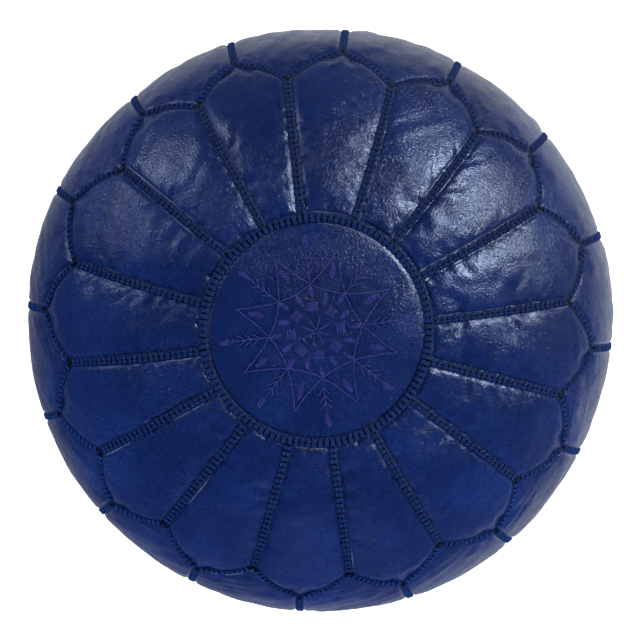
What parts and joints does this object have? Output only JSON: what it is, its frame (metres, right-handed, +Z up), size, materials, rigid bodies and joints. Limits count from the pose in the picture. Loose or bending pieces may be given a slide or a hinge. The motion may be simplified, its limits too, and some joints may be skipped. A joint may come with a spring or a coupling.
{
  "type": "moroccan leather pouf",
  "caption": "Round stuffed leather pouf: an embroidered top medallion, pointed petals, curved side panels and a zipped base, joined by raised hand-stitched seams.",
  "frame": {"origin": "middle of the footprint, on the floor", "axes": "+Z up through the middle of the top medallion; X along the zip in the base"},
  "size_m": [0.5299, 0.53, 0.33],
  "materials": {
    "leather": "waxed navy blue goatskin with a satin sheen",
    "stitching_thread": "thick navy waxed thread, wrapped in blocks",
    "embroidery_thread": "violet blue thread with a soft sheen",
    "liner_canvas": "plain unbleached cotton canvas",
    "stuffing_fibre": "matt white fibre wadding",
    "zip_tape": "navy woven tape with a moulded coil",
    "zip_metal": "aged brass, worn on the edges"
  },
  "bodies": {
    "root": {"top_medallion": "leather", "top_petal_01": "leather", "top_petal_02": "leather", "top_petal_03": "leather", "top_petal_04": "leather", "top_petal_05": "leather", "top_petal_06": "leather", "top_petal_07": "leather", "top_petal_08": "leather", "top_petal_09": "leather", "top_petal_10": "leather", "top_petal_11": "leather", "top_petal_12": "leather", "top_petal_13": "leather", "top_petal_14": "leather", "top_petal_15": "leather", "top_petal_16": "leather", "side_panel_01": "leather", "side_panel_02": "leather", "side_panel_03": "leather", "side_panel_04": "leather", "side_panel_05": "leather", "side_panel_06": "leather", "side_panel_07": "leather", "side_panel_08": "leather", "side_panel_09": "leather", "side_panel_10": "leather", "side_panel_11": "leather", "side_panel_12": "leather", "side_panel_13": "leather", "side_panel_14": "leather", "side_panel_15": "leather", "side_panel_16": "leather", "base_petal_01": "leather", "base_petal_02": "leather", "base_petal_03": "leather", "base_petal_04": "leather", "base_petal_05": "leather", "base_petal_06": "leather", "base_petal_07": "leather", "base_petal_08": "leather", "base_petal_09": "leather", "base_petal_10": "leather", "base_petal_11": "leather", "base_petal_12": "leather", "base_petal_13": "leather", "base_petal_14": "leather", "base_petal_15": "leather", "base_petal_16": "leather", "base_disc_left": "leather", "base_disc_right": "leather", "top_stitching": "stitching_thread", "base_stitching": "stitching_thread", "medallion_embroidery": "embroidery_thread", "zip_chain_left": "zip_tape", "zip_chain_right": "zip_tape", "inner_liner": "liner_canvas", "stuffing": "stuffing_fibre"},
    "slider": {"zip_slider": "zip_metal"},
    "pull": {"zip_pull": "zip_metal"}
  },
  "joints": [
    {"name": "zip_slide", "type": "slide", "parent": "root", "child": "slider", "axis": [-1, 0, 0], "range_m": [0, 0.156]},
    {"name": "pull_swing", "type": "hinge", "parent": "slider", "child": "pull", "pos_m": [0.078, 0, 0.00595], "axis": [0, -1, 0], "range_deg": [0, 150]}
  ]
}
